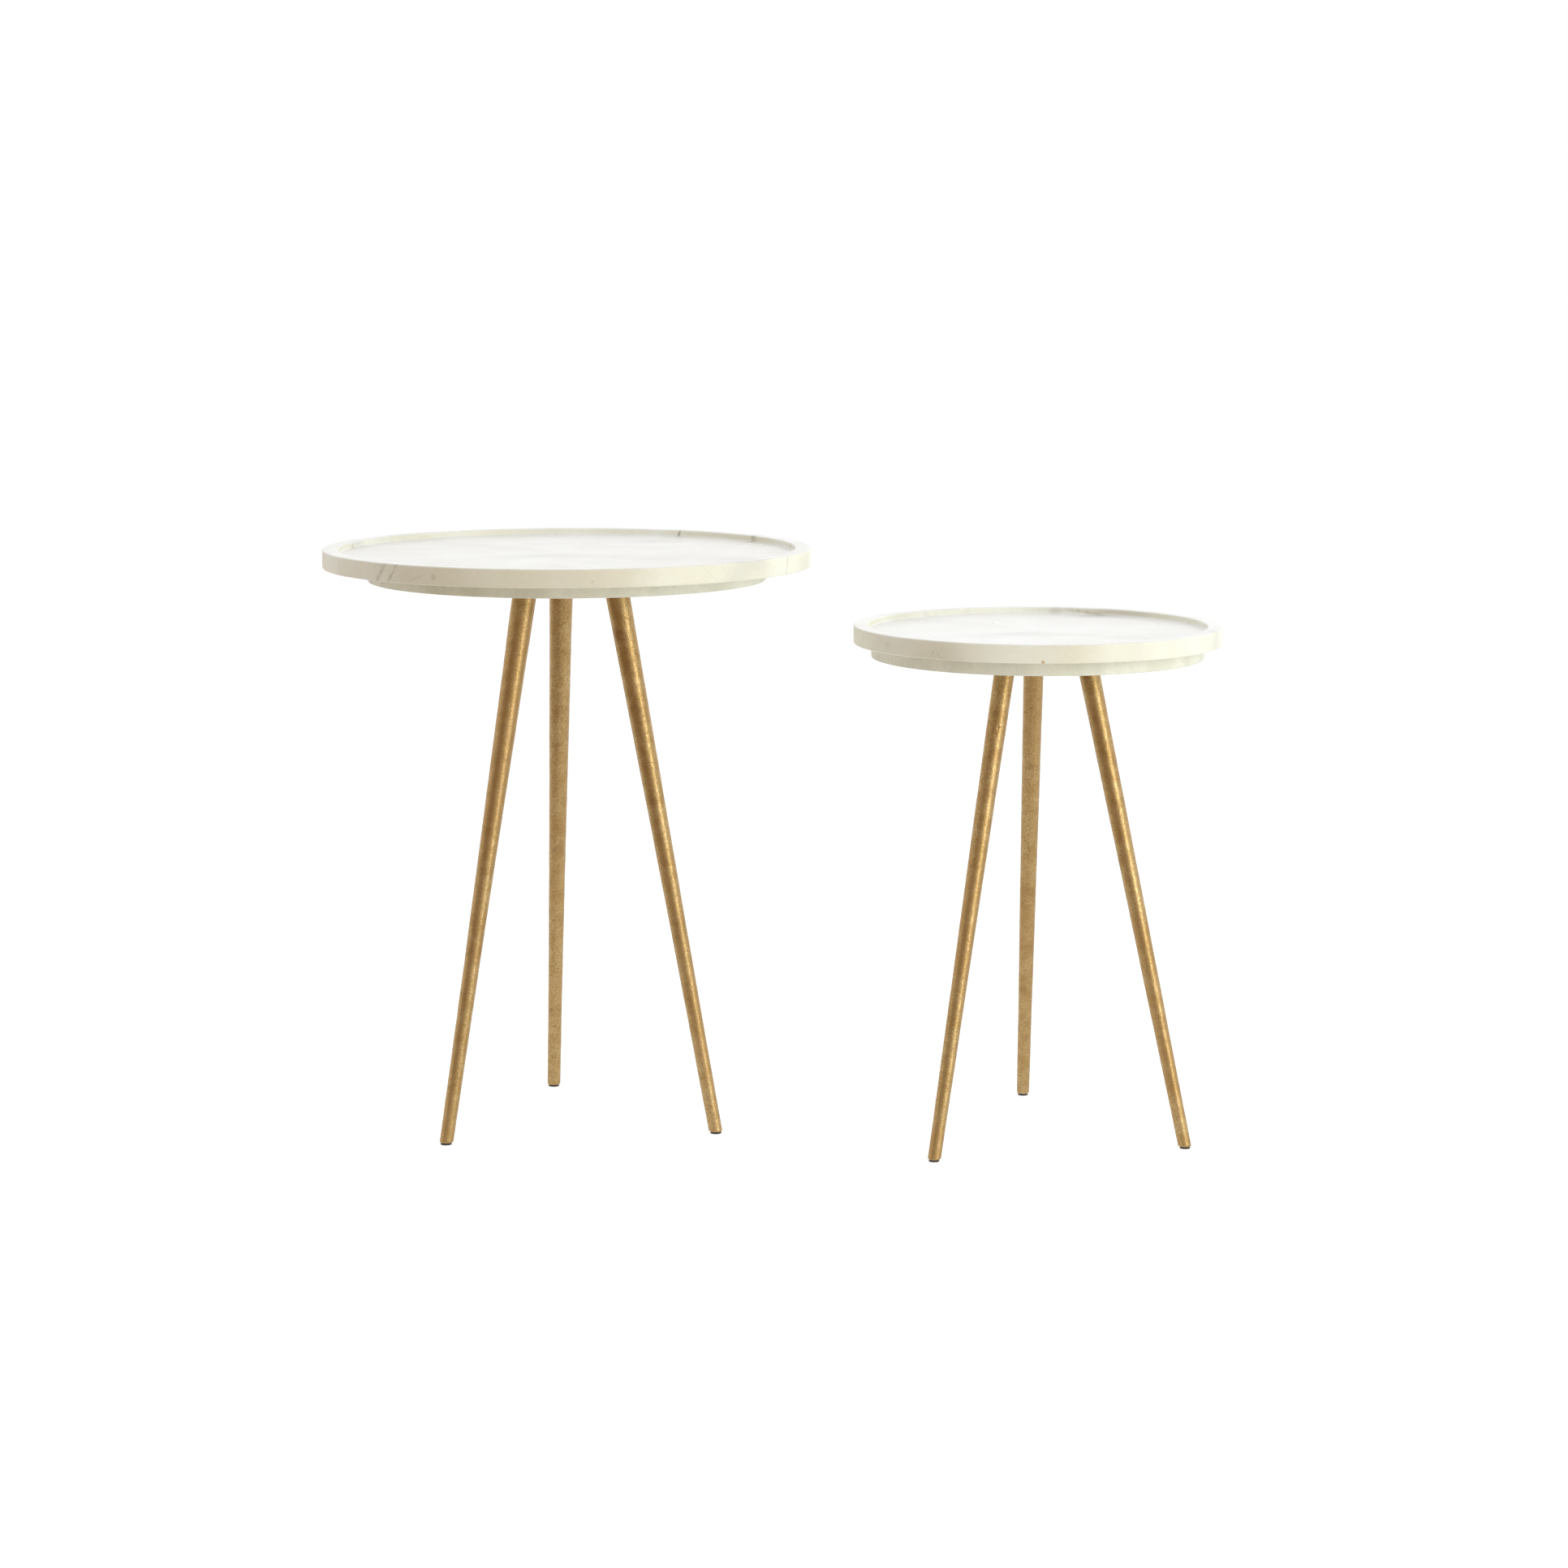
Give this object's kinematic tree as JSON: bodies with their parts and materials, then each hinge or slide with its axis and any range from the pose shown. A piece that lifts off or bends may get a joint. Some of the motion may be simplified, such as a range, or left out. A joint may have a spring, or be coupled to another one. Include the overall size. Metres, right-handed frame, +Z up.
{
  "type": "nesting tables",
  "caption": "Two round marble-topped tripod side tables, the lower one tucking part way under the taller one, each with a shallow recessed tray on three splayed cast-metal legs.",
  "frame": {"origin": "on the floor, at the middle of the pair's overall length and depth", "axes": "+X from the large table's centre to the small table's centre, +Z up, +Y to the back"},
  "size_m": [0.8404, 0.457, 0.55],
  "materials": {
    "polished_marble": "polished white marble with faint grey veins and an ivory edge",
    "honed_marble": "honed, unpolished grey-white marble",
    "stone_resin": "set amber polyester stone resin",
    "antique_cast_brass": "sand-cast, fine pitted grain, antique brass patina, soft sheen",
    "zinc_plated_steel": "zinc plated",
    "turned_brass": "bright turned brass",
    "black_rubber": "matt black rubber"
  },
  "bodies": {
    "large_table": {"large_tray": "polished_marble", "large_resin_bond": "stone_resin", "large_base_disc": "honed_marble", "large_leg_right": "antique_cast_brass", "large_stud_right": "zinc_plated_steel", "large_insert_right": "turned_brass", "large_foot_pad_right": "black_rubber", "large_leg_back": "antique_cast_brass", "large_stud_back": "zinc_plated_steel", "large_insert_back": "turned_brass", "large_foot_pad_back": "black_rubber", "large_leg_left": "antique_cast_brass", "large_stud_left": "zinc_plated_steel", "large_insert_left": "turned_brass", "large_foot_pad_left": "black_rubber"},
    "small_table": {"small_tray": "polished_marble", "small_resin_bond": "stone_resin", "small_base_disc": "honed_marble", "small_leg_right": "antique_cast_brass", "small_stud_right": "zinc_plated_steel", "small_insert_right": "turned_brass", "small_foot_pad_right": "black_rubber", "small_leg_back": "antique_cast_brass", "small_stud_back": "zinc_plated_steel", "small_insert_back": "turned_brass", "small_foot_pad_back": "black_rubber", "small_leg_left": "antique_cast_brass", "small_stud_left": "zinc_plated_steel", "small_insert_left": "turned_brass", "small_foot_pad_left": "black_rubber"}
  },
  "joints": [
    {"name": "nest", "type": "slide", "parent": "large_table", "child": "small_table", "axis": [-1, 0, 0], "range_m": [0, 0.195]}
  ]
}
